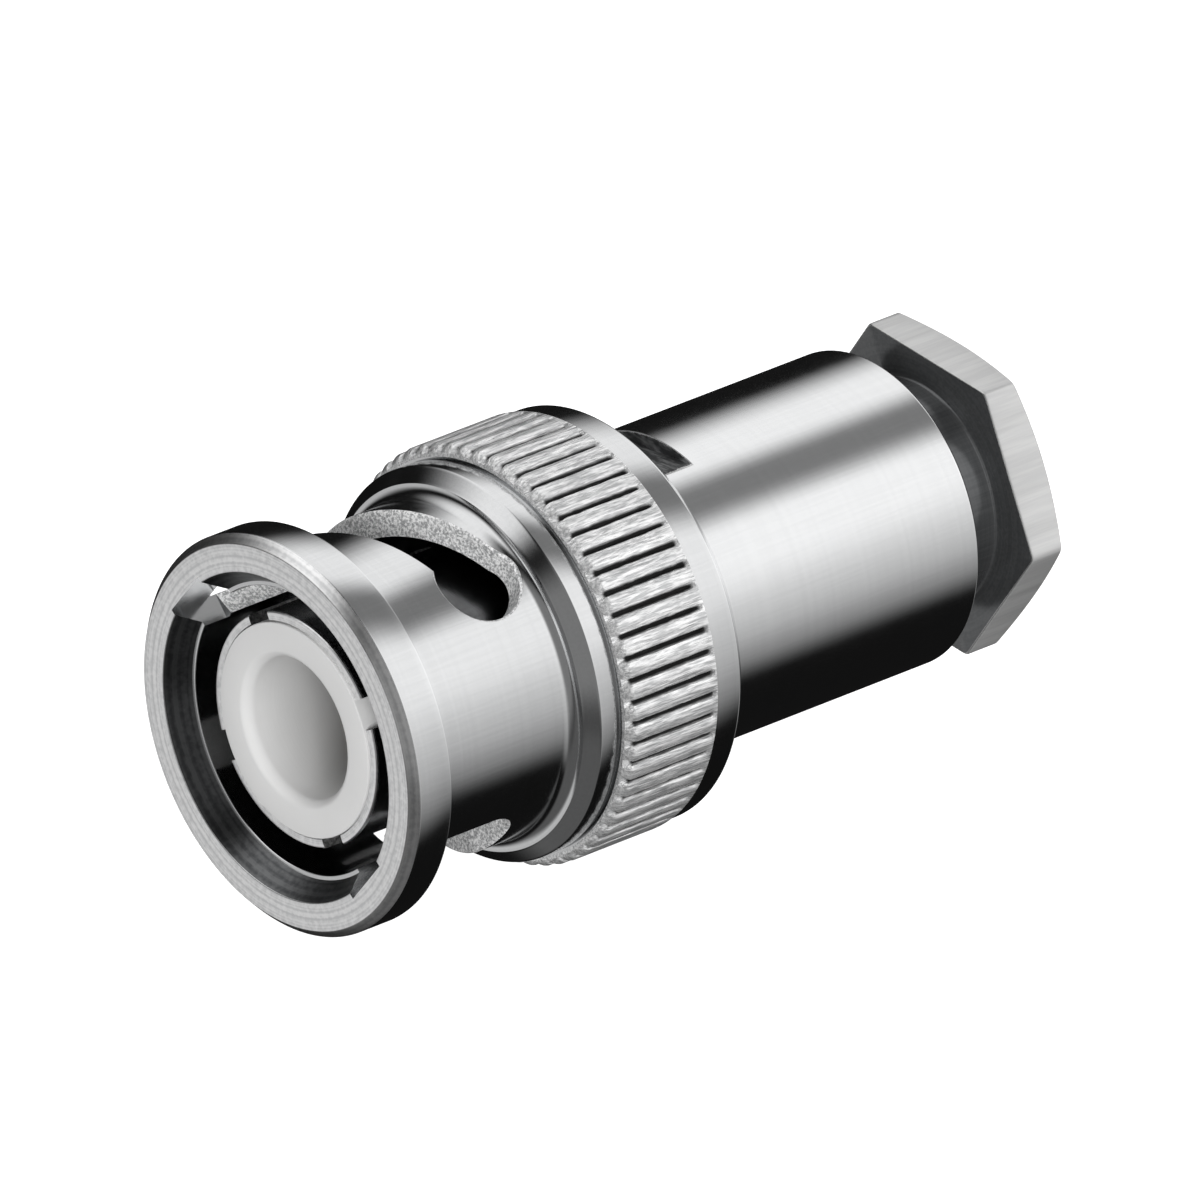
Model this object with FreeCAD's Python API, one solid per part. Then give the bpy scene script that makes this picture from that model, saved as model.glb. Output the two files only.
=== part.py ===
import FreeCAD, Part
import math
import os

from FreeCAD import Vector

# Clamp-type BNC plug. Lengths are in millimetres and angles in degrees.
# Every piece is drawn about Z, where z runs from the mating face towards the cable.
# It is then laid along +X, so that an angle runs from +Y towards +Z.

# Clearances
SEAT_GAP = 0.02  # between pieces that are pressed or pushed together
RUN_GAP = 0.05  # radial, between pieces that turn or slide on each other
OVERCUT = 1.0  # how far a cutter runs past what it cuts

# Bayonet coupling, outside
RIM_R = 6.9
RIM_LENGTH = 1.67
RIM_FRONT_EDGE = 0.3
BARREL_R = 5.85
COVE_START = 7.35
COVE_R = 0.45
SHOULDER_START = 8.2
SHOULDER_END = 8.85
SHOULDER_DROP = 0.47  # of the shoulder below the knurl
UNDERCUT_DEPTH = 0.12
KNURL_START = 9.0
KNURL_EDGE = 0.15
KNURL_RISE = 0.1  # of the knurl above the rear band
REAR_BAND_LENGTH = 1.43
REAR_BAND_EDGE = 0.35
REAR_WALL = 0.8  # of the rear band round the bore
REAR_LIP = 0.6  # behind the retaining ring's groove

# Knurl
TOOTH_COUNT = 60
GROOVE_DEPTH = 0.27
GROOVE_ANGLE = 2.0

# Bayonet coupling, inside
MOUTH_R = 5.65
MOUTH_DEPTH = 0.8
COUPLING_BORE_R = 4.95
MOUTH_STEP = 0.15

# Bayonet slots
SLOT_COUNT = 2
ENTRY_ANGLE = 33.4
ENTRY_WIDTH = 2.15
ENTRY_FLOOR_R = 5.75
ENTRY_OVERRUN = 0.67  # of the entry groove's round end past the cam's start
CAM_START = 4.2
CAM_WIDTH = 2.45
CAM_PITCH = 9.0
CAM_TURN = 84.1
LOCK_R = 1.5
LOCK_SETBACK = 0.26

# Body shell
FLANGE_FRONT = 11.2
FLANGE_THICKNESS = 0.8
FLANGE_HEIGHT = 0.8
SHELL_R = 5.45
SHELL_END = 25.87
SHELL_EDGE = 0.15
SLEEVE_SEAT_END = 13.0
CLAMP_SEAT = 17.0
FLAT_ANGLE = 80.0
FLAT_DEPTH = 0.45
FLAT_START_GAP = 0.3
FLAT_END = 16.6

# Spring and washer stack behind the flange
SPRING_SPACE = 0.85
WAVE_COUNT = 3
WAVE_SHEET = 0.15
WAVE_STEPS = 24
THRUST_WASHER_THICKNESS = 0.28
RING_THICKNESS = 0.43
RING_BITE = 0.27
RING_INNER_GAP = 0.3
RING_MOUTH = 1.6
RING_MOUTH_ANGLE = 250.0

# Outer contact sleeve
SLEEVE_R = 4.05
SLEEVE_WALL = 0.33
SLEEVE_ROOT_STEP = 0.2
SLEEVE_TIP = 0.87
SLEEVE_TIP_EDGE = 0.12
FINGER_SLOT_WIDTH = 1.05
FINGER_SLOT_END = 8.0
FINGER_SLOT_ANGLE = 56.9
FINGER_COUNT = 4

# Interface gasket
GASKET_LENGTH = 0.6

# Insulators
INSULATOR_FRONT = 0.8
INSULATOR_REAR = 17.0
INSULATOR_JOINT = 13.6
SOCKET_R = 2.45
SOCKET_LEAD = 0.22
SOCKET_END = 9.0

# Centre contact
PIN_R = 0.675
PIN_TIP = 3.6
PIN_TIP_LENGTH = 0.7
PIN_TIP_R = 0.3
STEM_R = 0.9
COLLAR_R = 1.2
COLLAR_LENGTH = 0.8
SOLDER_CUP_R = 0.95
SOLDER_CUP_END = 18.4
WIRE_HOLE_R = 0.5
WIRE_HOLE_DEPTH = 3.4
INSPECTION_HOLE_R = 0.3
INSPECTION_HOLE_Z = 16.0

# Cable clamp, from the front to the back
THREAD_R = 4.0
CLAMP_RING_LENGTH = 0.75
CLAMP_NOSE_LENGTH = 1.2
CLAMP_NOSE_R = 3.3
CLAMP_NOSE_END_R = 2.5
CLAMP_BORE_R = 1.6
CABLE_GASKET_LENGTH = 2.35
CABLE_R = 2.5
CABLE_GAP = 0.05
SLIP_WASHER_THICKNESS = 0.4

# Clamp nut
NUT_GAP = 2.03  # between the shell and the hexagon, with the nut not screwed home
NUT_ENGAGEMENT = 3.37
THREAD_LENGTH = 2.9
THREAD_LEAD = 0.25
RELIEF_R = 3.9
NECK_ROOT = 0.12
HEX_WIDTH = 10.0
HEX_LENGTH = 1.7
HEX_FLAT_ANGLE = 30.0
HEX_REAR_R = 4.6
HEX_CHAMFER_ANGLE = 20.0
NUT_BORE_R = 2.7
NUT_BORE_LEAD = 0.25

# Places that follow from the sizes above
FLANGE_REAR = FLANGE_FRONT + FLANGE_THICKNESS
THRUST_FRONT = FLANGE_REAR + SPRING_SPACE
RING_FRONT = THRUST_FRONT + THRUST_WASHER_THICKNESS + SEAT_GAP
RING_REAR = RING_FRONT + RING_THICKNESS
COUPLING_LENGTH = RING_REAR + SEAT_GAP + REAR_LIP
KNURL_END = COUPLING_LENGTH - REAR_BAND_LENGTH
FLANGE_R = SHELL_R + FLANGE_HEIGHT
REAR_BORE_R = FLANGE_R + 2 * RUN_GAP
REAR_BAND_R = REAR_BORE_R + REAR_WALL
KNURL_R = REAR_BAND_R + KNURL_RISE
SHOULDER_R = KNURL_R - SHOULDER_DROP
UNDERCUT_R = SHOULDER_R - UNDERCUT_DEPTH
RING_R = REAR_BORE_R + RING_BITE
WASHER_BORE_R = SHELL_R + 2 * RUN_GAP
WASHER_R = REAR_BORE_R - RUN_GAP
THREAD_BORE_R = THREAD_R + RUN_GAP
SLEEVE_BORE_R = SLEEVE_R - SLEEVE_WALL
SLEEVE_ROOT_R = SLEEVE_R + SLEEVE_ROOT_STEP
CLAMP_NOSE_START = CLAMP_SEAT + CLAMP_RING_LENGTH
CABLE_GASKET_END = CLAMP_NOSE_START + CABLE_GASKET_LENGTH
NUT_FRONT = SHELL_END - NUT_ENGAGEMENT
HEX_FRONT = SHELL_END + NUT_GAP
HEX_REAR = HEX_FRONT + HEX_LENGTH

AXIS = Vector(0, 0, 1)
CENTRE = Vector(0, 0, 0)
LAID = FreeCAD.Placement(CENTRE, FreeCAD.Rotation(Vector(1, 1, 1), 120))


def turned(points, angle=360):
    """Solid of revolution about the axis, from the (z, r) points of its section."""
    corners = [Vector(r, 0, z) for z, r in points]
    section = Part.makePolygon(corners + corners[:1])
    return Part.Face(section).revolve(CENTRE, AXIS, angle)


def ring(front, rear, inner_r, outer_r):
    """Flat ring."""
    return turned([(front, inner_r), (front, outer_r), (rear, outer_r), (rear, inner_r)])


def arc_point(z, r, radius, angle):
    """Point of a section's round, at an angle from +z towards +r about its centre."""
    turn = math.radians(angle)
    return z + radius * math.cos(turn), r + radius * math.sin(turn)


def turned_to(shape, angle):
    """The shape turned about the axis."""
    copy = shape.copy()
    copy.rotate(CENTRE, AXIS, angle)
    return copy


def radial_hole(radius, z, angle, length):
    """Round cutter that points outwards from the axis."""
    hole = Part.makeCylinder(radius, length, Vector(0, 0, z), Vector(1, 0, 0))
    return turned_to(hole, angle)


def radial_box(width, z_start, z_end, r_start, r_end):
    """Straight-sided cutter that points along +X."""
    corner = Vector(r_start, -width / 2, z_start)
    return Part.makeBox(r_end - r_start, width, z_end - z_start, corner)


def coupling_blank():
    """The coupling as it leaves the lathe, before its slots and knurl."""
    cove_r = BARREL_R + COVE_R
    cove_middle = arc_point(COVE_START, cove_r, COVE_R, -45)
    groove_front = RING_FRONT - SEAT_GAP
    groove_rear = RING_REAR + SEAT_GAP
    groove_r = RING_R + RUN_GAP
    shoulder_face = FLANGE_FRONT - SEAT_GAP
    return turned(
        [
            (0, MOUTH_R),
            (0, RIM_R - RIM_FRONT_EDGE),
            (RIM_FRONT_EDGE, RIM_R),
            (RIM_LENGTH, RIM_R),
            (RIM_LENGTH, BARREL_R),
            (COVE_START, BARREL_R),
            cove_middle,
            (COVE_START + COVE_R, cove_r),
            (SHOULDER_START, SHOULDER_R),
            (SHOULDER_END, SHOULDER_R),
            (SHOULDER_END, UNDERCUT_R),
            (KNURL_START, UNDERCUT_R),
            (KNURL_START, KNURL_R - KNURL_EDGE),
            (KNURL_START + KNURL_EDGE, KNURL_R),
            (KNURL_END, KNURL_R),
            (KNURL_END + KNURL_R - REAR_BAND_R, REAR_BAND_R),
            (COUPLING_LENGTH - REAR_BAND_EDGE, REAR_BAND_R),
            (COUPLING_LENGTH, REAR_BAND_R - REAR_BAND_EDGE),
            (COUPLING_LENGTH, REAR_BORE_R),
            (groove_rear, REAR_BORE_R),
            (groove_rear, groove_r),
            (groove_front, groove_r),
            (groove_front, REAR_BORE_R),
            (shoulder_face, REAR_BORE_R),
            (shoulder_face, COUPLING_BORE_R),
            (MOUTH_DEPTH, COUPLING_BORE_R),
            (MOUTH_DEPTH, COUPLING_BORE_R + MOUTH_STEP),
        ]
    )


def knurl_grooves():
    """Straight grooves all round the grip, each with radial walls."""
    front = KNURL_START - GROOVE_DEPTH
    floor_r = KNURL_R - GROOVE_DEPTH
    over_r = KNURL_R + GROOVE_DEPTH
    section = [(front, floor_r), (front, over_r), (KNURL_END, over_r), (KNURL_END, floor_r)]
    groove = turned(section, GROOVE_ANGLE)
    step = 360 / TOOTH_COUNT
    return [turned_to(groove, tooth * step - GROOVE_ANGLE / 2) for tooth in range(TOOTH_COUNT)]


def cam_sweep():
    """Cutter that follows the stud's climb from the entry groove to the lock hole."""
    r_start = COUPLING_BORE_R - 2 * RUN_GAP
    r_end = UNDERCUT_R
    half = CAM_WIDTH / 2
    path = Part.makeHelix(CAM_PITCH, CAM_PITCH * CAM_TURN / 360, BARREL_R)
    path.translate(Vector(0, 0, CAM_START))
    corners = [
        Vector(r_start, 0, CAM_START - half),
        Vector(r_end, 0, CAM_START - half),
        Vector(r_end, 0, CAM_START + half),
        Vector(r_start, 0, CAM_START + half),
    ]
    section = Part.makePolygon(corners + corners[:1])
    return Part.Wire(path.Edges).makePipeShell([section], True, True)


def bayonet_cutters():
    """Cutters of one slot, drawn with its entry groove at angle zero."""
    entry_end = CAM_START + ENTRY_OVERRUN
    entry_rear = entry_end + ENTRY_WIDTH / 2
    level_turn = 360 * (entry_rear + RUN_GAP - CAM_START - CAM_WIDTH / 2) / CAM_PITCH
    lock_z = CAM_START + CAM_PITCH * CAM_TURN / 360 - LOCK_SETBACK
    r_start = COUPLING_BORE_R - 2 * RUN_GAP
    # The rear edge runs level from the entry groove's end until the climbing slot meets it
    level_section = [
        (entry_end, r_start),
        (entry_end, UNDERCUT_R),
        (entry_rear, UNDERCUT_R),
        (entry_rear, r_start),
    ]
    return [
        radial_box(ENTRY_WIDTH, -OVERCUT, RIM_LENGTH, r_start - OVERCUT, ENTRY_FLOOR_R),
        radial_box(ENTRY_WIDTH, RIM_LENGTH, entry_end, r_start - OVERCUT, UNDERCUT_R),
        radial_hole(ENTRY_WIDTH / 2, entry_end, 0, UNDERCUT_R),
        turned(level_section, level_turn),
        cam_sweep(),
        radial_hole(LOCK_R, lock_z, CAM_TURN, UNDERCUT_R),
    ]


def bayonet_coupling():
    """Knurled coupling, with a blind entry groove and a climbing slot for each stud."""
    coupling = coupling_blank()
    for slot in range(SLOT_COUNT):
        angle = ENTRY_ANGLE + slot * 360 / SLOT_COUNT
        for cutter in bayonet_cutters():
            coupling = coupling.cut(turned_to(cutter, angle))
    return coupling.cut(knurl_grooves())


def body_shell():
    """Turned body with the spring flange, two wrench flats and a threaded rear bore."""
    sleeve_bore_r = SLEEVE_ROOT_R + SEAT_GAP
    shell = turned(
        [
            (FLANGE_FRONT, sleeve_bore_r),
            (FLANGE_FRONT, FLANGE_R),
            (FLANGE_REAR, FLANGE_R),
            (FLANGE_REAR, SHELL_R),
            (SHELL_END - SHELL_EDGE, SHELL_R),
            (SHELL_END, SHELL_R - SHELL_EDGE),
            (SHELL_END, THREAD_BORE_R),
            (CLAMP_SEAT, THREAD_BORE_R),
            (CLAMP_SEAT, SLEEVE_BORE_R),
            (SLEEVE_SEAT_END, SLEEVE_BORE_R),
            (SLEEVE_SEAT_END, sleeve_bore_r),
        ]
    )
    flat_start = RING_REAR + FLAT_START_GAP
    cutter = radial_box(2 * SHELL_R, flat_start, FLAT_END, SHELL_R - FLAT_DEPTH, 2 * SHELL_R)
    return shell.cut([turned_to(cutter, FLAT_ANGLE + side) for side in (0, 180)])


def contact_sleeve():
    """Outer contact: a thin tube on a thicker root, sawn into spring fingers."""
    half_finger = 180 / FINGER_COUNT
    root_front = FLANGE_FRONT - GASKET_LENGTH
    sleeve = turned(
        [
            (SLEEVE_TIP, SLEEVE_BORE_R),
            (SLEEVE_TIP, SLEEVE_R - SLEEVE_TIP_EDGE),
            (SLEEVE_TIP + SLEEVE_TIP_EDGE, SLEEVE_R),
            (root_front, SLEEVE_R),
            (root_front, SLEEVE_ROOT_R),
            (SLEEVE_SEAT_END, SLEEVE_ROOT_R),
            (SLEEVE_SEAT_END, SLEEVE_BORE_R),
        ]
    )
    saw = radial_box(FINGER_SLOT_WIDTH, 0, FINGER_SLOT_END, -2 * SLEEVE_R, 2 * SLEEVE_R)
    fingers = sleeve.cut([turned_to(saw, half_finger + turn) for turn in (0, 90)])
    return turned_to(fingers, FINGER_SLOT_ANGLE - half_finger)


def interface_gasket():
    """Rubber ring that the mating jack presses on."""
    front = FLANGE_FRONT - GASKET_LENGTH
    inner_r = SLEEVE_ROOT_R + SEAT_GAP
    return ring(front, FLANGE_FRONT, inner_r, COUPLING_BORE_R - 2 * RUN_GAP)


def front_insulator():
    """Long insulator with the socket for the jack and a pocket for the contact's collar."""
    outer_r = SLEEVE_BORE_R - SEAT_GAP
    pin_hole_r = STEM_R + SEAT_GAP
    collar_hole_r = COLLAR_R + SEAT_GAP
    pocket = INSULATOR_JOINT - COLLAR_LENGTH
    return turned(
        [
            (INSULATOR_FRONT, SOCKET_R + SOCKET_LEAD),
            (INSULATOR_FRONT, outer_r),
            (INSULATOR_JOINT, outer_r),
            (INSULATOR_JOINT, collar_hole_r),
            (pocket, collar_hole_r),
            (pocket, pin_hole_r),
            (SOCKET_END, pin_hole_r),
            (SOCKET_END, SOCKET_R),
            (INSULATOR_FRONT + SOCKET_LEAD, SOCKET_R),
        ]
    )


def rear_insulator():
    """Short insulator that holds the contact's collar in the front one."""
    outer_r = SLEEVE_BORE_R - SEAT_GAP
    return ring(INSULATOR_JOINT, INSULATOR_REAR, SOLDER_CUP_R + SEAT_GAP, outer_r)


def center_pin():
    """Inner contact: tapered tip, thicker stem, collar, and a solder cup with its sight hole."""
    collar_front = INSULATOR_JOINT - COLLAR_LENGTH
    pin = turned(
        [
            (PIN_TIP, 0),
            (PIN_TIP, PIN_TIP_R),
            (PIN_TIP + PIN_TIP_LENGTH, PIN_R),
            (SOCKET_END, PIN_R),
            (SOCKET_END, STEM_R),
            (collar_front, STEM_R),
            (collar_front, COLLAR_R),
            (INSULATOR_JOINT, COLLAR_R),
            (INSULATOR_JOINT, SOLDER_CUP_R),
            (SOLDER_CUP_END, SOLDER_CUP_R),
            (SOLDER_CUP_END, WIRE_HOLE_R),
            (SOLDER_CUP_END - WIRE_HOLE_DEPTH, WIRE_HOLE_R),
            (SOLDER_CUP_END - WIRE_HOLE_DEPTH, 0),
        ]
    )
    return pin.cut(radial_hole(INSPECTION_HOLE_R, INSPECTION_HOLE_Z, FLAT_ANGLE, 2 * COLLAR_R))


def wavy_edge(radius, z, height):
    """Closed curve that rises and falls WAVE_COUNT times in a turn."""
    points = []
    for step in range(WAVE_STEPS):
        turn = 2 * math.pi * step / WAVE_STEPS
        rise = height * math.cos(WAVE_COUNT * turn)
        points.append(Vector(radius * math.cos(turn), radius * math.sin(turn), z + rise))
    curve = Part.BSplineCurve()
    curve.interpolate(points, True)
    return curve.toShape()


def wave_washer(place):
    """Spring washer of wavy sheet. The two lie nested, place 0 in front and place 1 behind."""
    stack = 2 * WAVE_SHEET + SEAT_GAP
    height = (SPRING_SPACE - 2 * SEAT_GAP - stack) / 2
    front = FLANGE_REAR + SEAT_GAP + height + place * (WAVE_SHEET + SEAT_GAP)
    rear = front + WAVE_SHEET
    inner_r = WASHER_BORE_R
    outer_r = WASHER_R
    front_inner = wavy_edge(inner_r, front, height)
    front_outer = wavy_edge(outer_r, front, height)
    rear_inner = wavy_edge(inner_r, rear, height)
    rear_outer = wavy_edge(outer_r, rear, height)
    faces = [
        Part.makeRuledSurface(front_inner, front_outer),
        Part.makeRuledSurface(rear_inner, rear_outer),
        Part.makeRuledSurface(front_inner, rear_inner),
        Part.makeRuledSurface(front_outer, rear_outer),
    ]
    shell = Part.Shell(faces)
    shell.sewShape()
    solid = Part.Solid(shell)
    solid.fix(1e-6, 1e-6, 1e-6)
    return solid


def front_wave_washer():
    return wave_washer(0)


def rear_wave_washer():
    return wave_washer(1)


def thrust_washer():
    """Flat washer between the springs and the retaining ring."""
    return ring(THRUST_FRONT, THRUST_FRONT + THRUST_WASHER_THICKNESS, WASHER_BORE_R, WASHER_R)


def retaining_ring():
    """Open ring in the coupling's groove, which carries the pull of the springs."""
    circlip = ring(RING_FRONT, RING_REAR, SHELL_R + RING_INNER_GAP, RING_R)
    mouth = radial_box(RING_MOUTH, RING_FRONT - OVERCUT, RING_REAR + OVERCUT, 0, 2 * RING_R)
    return circlip.cut(turned_to(mouth, RING_MOUTH_ANGLE))


def braid_clamp():
    """Ring that seats in the shell, with a cone for the braid to lie on."""
    nose_end = CLAMP_NOSE_START + CLAMP_NOSE_LENGTH
    return turned(
        [
            (CLAMP_SEAT, CLAMP_BORE_R),
            (CLAMP_SEAT, THREAD_R),
            (CLAMP_NOSE_START, THREAD_R),
            (CLAMP_NOSE_START, CLAMP_NOSE_R),
            (nose_end, CLAMP_NOSE_END_R),
            (nose_end, CLAMP_BORE_R),
        ]
    )


def cable_gasket():
    """Rubber gasket, hollowed in front to fit over the clamp's cone."""
    cable_r = CABLE_R + CABLE_GAP
    cone_depth = CLAMP_NOSE_LENGTH + SEAT_GAP
    front = CLAMP_NOSE_START + SEAT_GAP
    return turned(
        [
            (front, CLAMP_NOSE_R + CABLE_GAP),
            (front, THREAD_R),
            (CABLE_GASKET_END, THREAD_R),
            (CABLE_GASKET_END, cable_r),
            (front + cone_depth, cable_r),
        ]
    )


def slip_washer():
    """Loose washer on the nut's nose, so that the turning nut doesn't twist the gasket."""
    rear = NUT_FRONT - SEAT_GAP
    return ring(rear - SLIP_WASHER_THICKNESS, rear, NUT_BORE_R, THREAD_R - RUN_GAP)


def hexagon():
    """Hexagonal head, with its rear corners turned off."""
    corner_r = HEX_WIDTH / math.sqrt(3)
    corners = []
    for corner in range(6):
        turn = math.radians(HEX_FLAT_ANGLE + 60 * corner + 30)
        corners.append(Vector(corner_r * math.cos(turn), corner_r * math.sin(turn), HEX_FRONT))
    prism = Part.Face(Part.makePolygon(corners + corners[:1])).extrude(Vector(0, 0, HEX_LENGTH))
    reach = corner_r + OVERCUT
    fall = (reach - HEX_REAR_R) * math.tan(math.radians(HEX_CHAMFER_ANGLE))
    cone = turned(
        [
            (HEX_FRONT - OVERCUT, 0),
            (HEX_FRONT - OVERCUT, reach),
            (HEX_REAR - fall, reach),
            (HEX_REAR, HEX_REAR_R),
            (HEX_REAR, 0),
        ]
    )
    return prism.common(cone)


def clamp_nut():
    """Hexagon nut with a threaded neck and the hole that the cable leaves by."""
    thread_end = NUT_FRONT + THREAD_LENGTH
    neck = turned(
        [
            (NUT_FRONT, 0),
            (NUT_FRONT, THREAD_R - THREAD_LEAD),
            (NUT_FRONT + THREAD_LEAD, THREAD_R),
            (thread_end, THREAD_R),
            (thread_end + THREAD_R - RELIEF_R, RELIEF_R),
            (HEX_FRONT - NECK_ROOT, RELIEF_R),
            (HEX_FRONT, RELIEF_R + NECK_ROOT),
            (HEX_FRONT + HEX_LENGTH / 2, RELIEF_R + NECK_ROOT),
            (HEX_FRONT + HEX_LENGTH / 2, 0),
        ]
    )
    bore = turned(
        [
            (NUT_FRONT - OVERCUT, 0),
            (NUT_FRONT - OVERCUT, NUT_BORE_R),
            (HEX_REAR - NUT_BORE_LEAD, NUT_BORE_R),
            (HEX_REAR, NUT_BORE_R + NUT_BORE_LEAD),
            (HEX_REAR + OVERCUT, NUT_BORE_R + NUT_BORE_LEAD),
            (HEX_REAR + OVERCUT, 0),
        ]
    )
    return hexagon().fuse(neck).cut(bore).removeSplitter()


PIECES = [
    bayonet_coupling,
    retaining_ring,
    thrust_washer,
    front_wave_washer,
    rear_wave_washer,
    body_shell,
    contact_sleeve,
    interface_gasket,
    front_insulator,
    rear_insulator,
    center_pin,
    braid_clamp,
    cable_gasket,
    slip_washer,
    clamp_nut,
]

os.makedirs("parts", exist_ok=True)
for piece in PIECES:
    shape = piece().transformed(LAID.toMatrix())
    shape.exportStep("parts/" + piece.__name__ + ".step")
    print(piece.__name__, round(shape.Volume, 2), len(shape.Solids), shape.isValid())
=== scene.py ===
import itertools
import math

import bmesh
import bpy
import numpy as np
from mathutils import Matrix, Vector


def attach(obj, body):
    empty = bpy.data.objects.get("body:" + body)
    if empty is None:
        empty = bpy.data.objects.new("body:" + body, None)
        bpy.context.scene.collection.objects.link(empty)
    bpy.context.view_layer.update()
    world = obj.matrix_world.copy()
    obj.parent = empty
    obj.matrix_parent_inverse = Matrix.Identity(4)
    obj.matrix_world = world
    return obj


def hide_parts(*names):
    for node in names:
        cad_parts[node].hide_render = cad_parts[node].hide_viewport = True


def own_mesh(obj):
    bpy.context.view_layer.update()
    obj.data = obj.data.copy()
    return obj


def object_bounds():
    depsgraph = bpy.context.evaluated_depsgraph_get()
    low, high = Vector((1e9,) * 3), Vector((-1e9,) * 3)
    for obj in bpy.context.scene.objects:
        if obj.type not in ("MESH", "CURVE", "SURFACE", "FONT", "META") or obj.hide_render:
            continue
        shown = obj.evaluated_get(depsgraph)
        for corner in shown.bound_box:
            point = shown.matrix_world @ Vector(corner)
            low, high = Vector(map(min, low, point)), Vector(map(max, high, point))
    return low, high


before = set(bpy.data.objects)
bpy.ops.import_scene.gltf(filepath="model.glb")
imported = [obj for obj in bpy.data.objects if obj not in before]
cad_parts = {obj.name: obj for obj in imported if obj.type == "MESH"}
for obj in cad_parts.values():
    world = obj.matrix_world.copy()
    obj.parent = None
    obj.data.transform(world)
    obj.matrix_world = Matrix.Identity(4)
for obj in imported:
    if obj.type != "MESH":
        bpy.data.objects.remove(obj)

# Looks of a clamp-type BNC plug. Shapes are written in millimetres, and meshes are made in metres.
# The plug lies along X. x runs from the mating face to the cable end, and an angle runs from +Y
# towards +Z.

MM = 0.001
WHITE = (1.0, 1.0, 1.0)
cad_low, cad_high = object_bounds()

# Camera
VIEW_ALONG = Vector((0.588, 0.6367, -0.4992))
VIEW_RIGHT = Vector((0.7545, -0.654, 0.0546))
SENSOR_MM = 36.0
FRAME_WIDTH_MM = 39.07
CAMERA_DISTANCE_MM = 1300.0
AIM_RIGHT_MM = 10.57
AIM_UP_MM = 4.49

# Fineness of the turned pieces
SEGMENTS = 300
EDGE_STEPS = 3
SHARP_ANGLE = math.radians(33)

# Knurl
TEETH = 60
TOOTH_POINTS = 20
KNURL_R = 7.25
KNURL_DEPTH = 0.27
KNURL_START = 9.0
KNURL_END = 12.77
COLLAR_R = 7.15
GROOVE_HALF_WIDTH = 0.105
LAND_CROWN = 0.1
# Length and drop of the scalloped front
SCALLOP_LENGTH = 0.35
SCALLOP_DROP = 0.25
# Each groove's width changes from one stretch of this length to the next
WANDER_LENGTH = 0.25
WANDER_STEPS = 17

# Painted shade in the grooves between the lands. It starts behind the scalloped front.
GROOVE_SHADE_COLOUR = (0.05, 0.05, 0.05)
GROOVE_TOP_R = 7.2
GROOVE_SHADE_FADE = 0.13
GROOVE_SHADE_X = 9.22

# Coupling's mouth and faced front
COUPLING_BORE_R = 4.95
MOUTH_R = 5.65
MOUTH_DEPTH = 0.8
FACED_END = 0.29

# Places in the coupling's list of materials
KNURLED = 1
FACED = 3
MOUTH = 4

# Bayonet slots
SLOT_ANGLES = (33.4, 213.4)
BARREL_R = 5.85
ENTRY_HALF_WIDTH = 1.075
ENTRY_END = 4.87
ENTRY_FLOOR_R = 5.75
RIM_LENGTH = 1.67
RIM_R = 6.9
CAM_START = 4.2
CAM_HALF_WIDTH = 1.225
CAM_PITCH = 9.0
CAM_TURN = 84.1
LEVEL_TURN = 21.0
LOCK_R = 1.5
LOCK_SETBACK = 0.26
SLOT_LIP = 0.06

# Body shell
SHELL_R = 5.45
FLAT_ANGLES = (80.0, 260.0)
FLAT_R = 5.0
FLAT_START = 13.88
FLAT_END = 16.6
# Waviness of the painted highlight along the wrench flat's edge
EDGE_HIGHLIGHT_WAVINESS = 0.09

# Contact sleeve
FINGER_SLOT_WIDTH = 1.05
FINGER_SLOT_END = 8.0
TIP_END = 0.98
FINGER_ANGLES = (56.9, 146.9)

# Insulator's socket, with painted shade that grows with depth within its wall
SOCKET_FRONT = 0.6
SOCKET_WALL = (2.6, 2.75)
SOCKET_SHADE_COLOUR = (0.42, 0.42, 0.42)

# Clamp nut
HEX_FRONT = 27.9
HEX_REAR = 29.6
HEX_HALF_WIDTH = 5.0
HEX_FLAT_ANGLE = 30.0
HEX_REAR_R = 4.6
HEX_CHAMFER = math.tan(math.radians(20))
CABLE_HOLE_R = 2.7
THREAD_PITCH = 0.75
THREAD_CREST_R = 4.0
THREAD_DEPTH = 0.36
THREAD_START = 22.5
THREAD_START_R = 3.62
THREAD_END = 25.4

# Places in the nut's list of materials
SATIN = 0
POLISHED_SHADE = 1
FLAT = 2

# Rings of the nut's neck from the thread to the hexagon: x, radius and material
NECK = (
    (25.42, 3.9, SATIN),
    (27.78, 3.9, POLISHED_SHADE),
    (27.84, 3.915, POLISHED_SHADE),
    (27.875, 3.95, POLISHED_SHADE),
    (27.9, 4.02, POLISHED_SHADE),
)

# Floor and light
FLOOR_HALF = 1.5
KEY_PLACE = (-0.7, -0.85, 0.3)
KEY_SIZE = 0.5
KEY_ENERGY = 9.0
# Strength of the white behind the floor, which only the camera sees
EMPTY_SPACE_WHITE = 1.3
AMBIENT = 0.009
# Bands of light round the plug's axis. Each has its strength, the angles over which its lower
# and upper edges fade, and the directions' X over which it fades in.
BANDS = (
    (1.38, (12, 50), (66, 86), (-0.95, -0.7)),  # box on the far side
    (0.28, (66, 84), (96, 112), (-0.4, 0.1)),  # gap over the top
    (1.45, (97, 122), (140, 224), (-0.45, 0.05)),  # box on the near side
    (0.28, (165, 200), (210, 232), (-0.2, 0.1)),  # near floor
    (0.3, (90, 120), (185, 215), (0.1, -0.4)),  # near side, in front
    (0.75, (-85, -55), (-25, 5), (-0.05, -0.4)),  # far floor, in front
    (0.14, (195, 225), (280, 290), (0.1, -0.2)),  # underneath, near
    (0.14, (-110, -100), (-70, -40), (0.1, -0.2)),  # underneath, far
    (0.45, (-92, -91), (271, 272), (0.68, 0.9)),  # all round, behind
)


# Shader helpers

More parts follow.
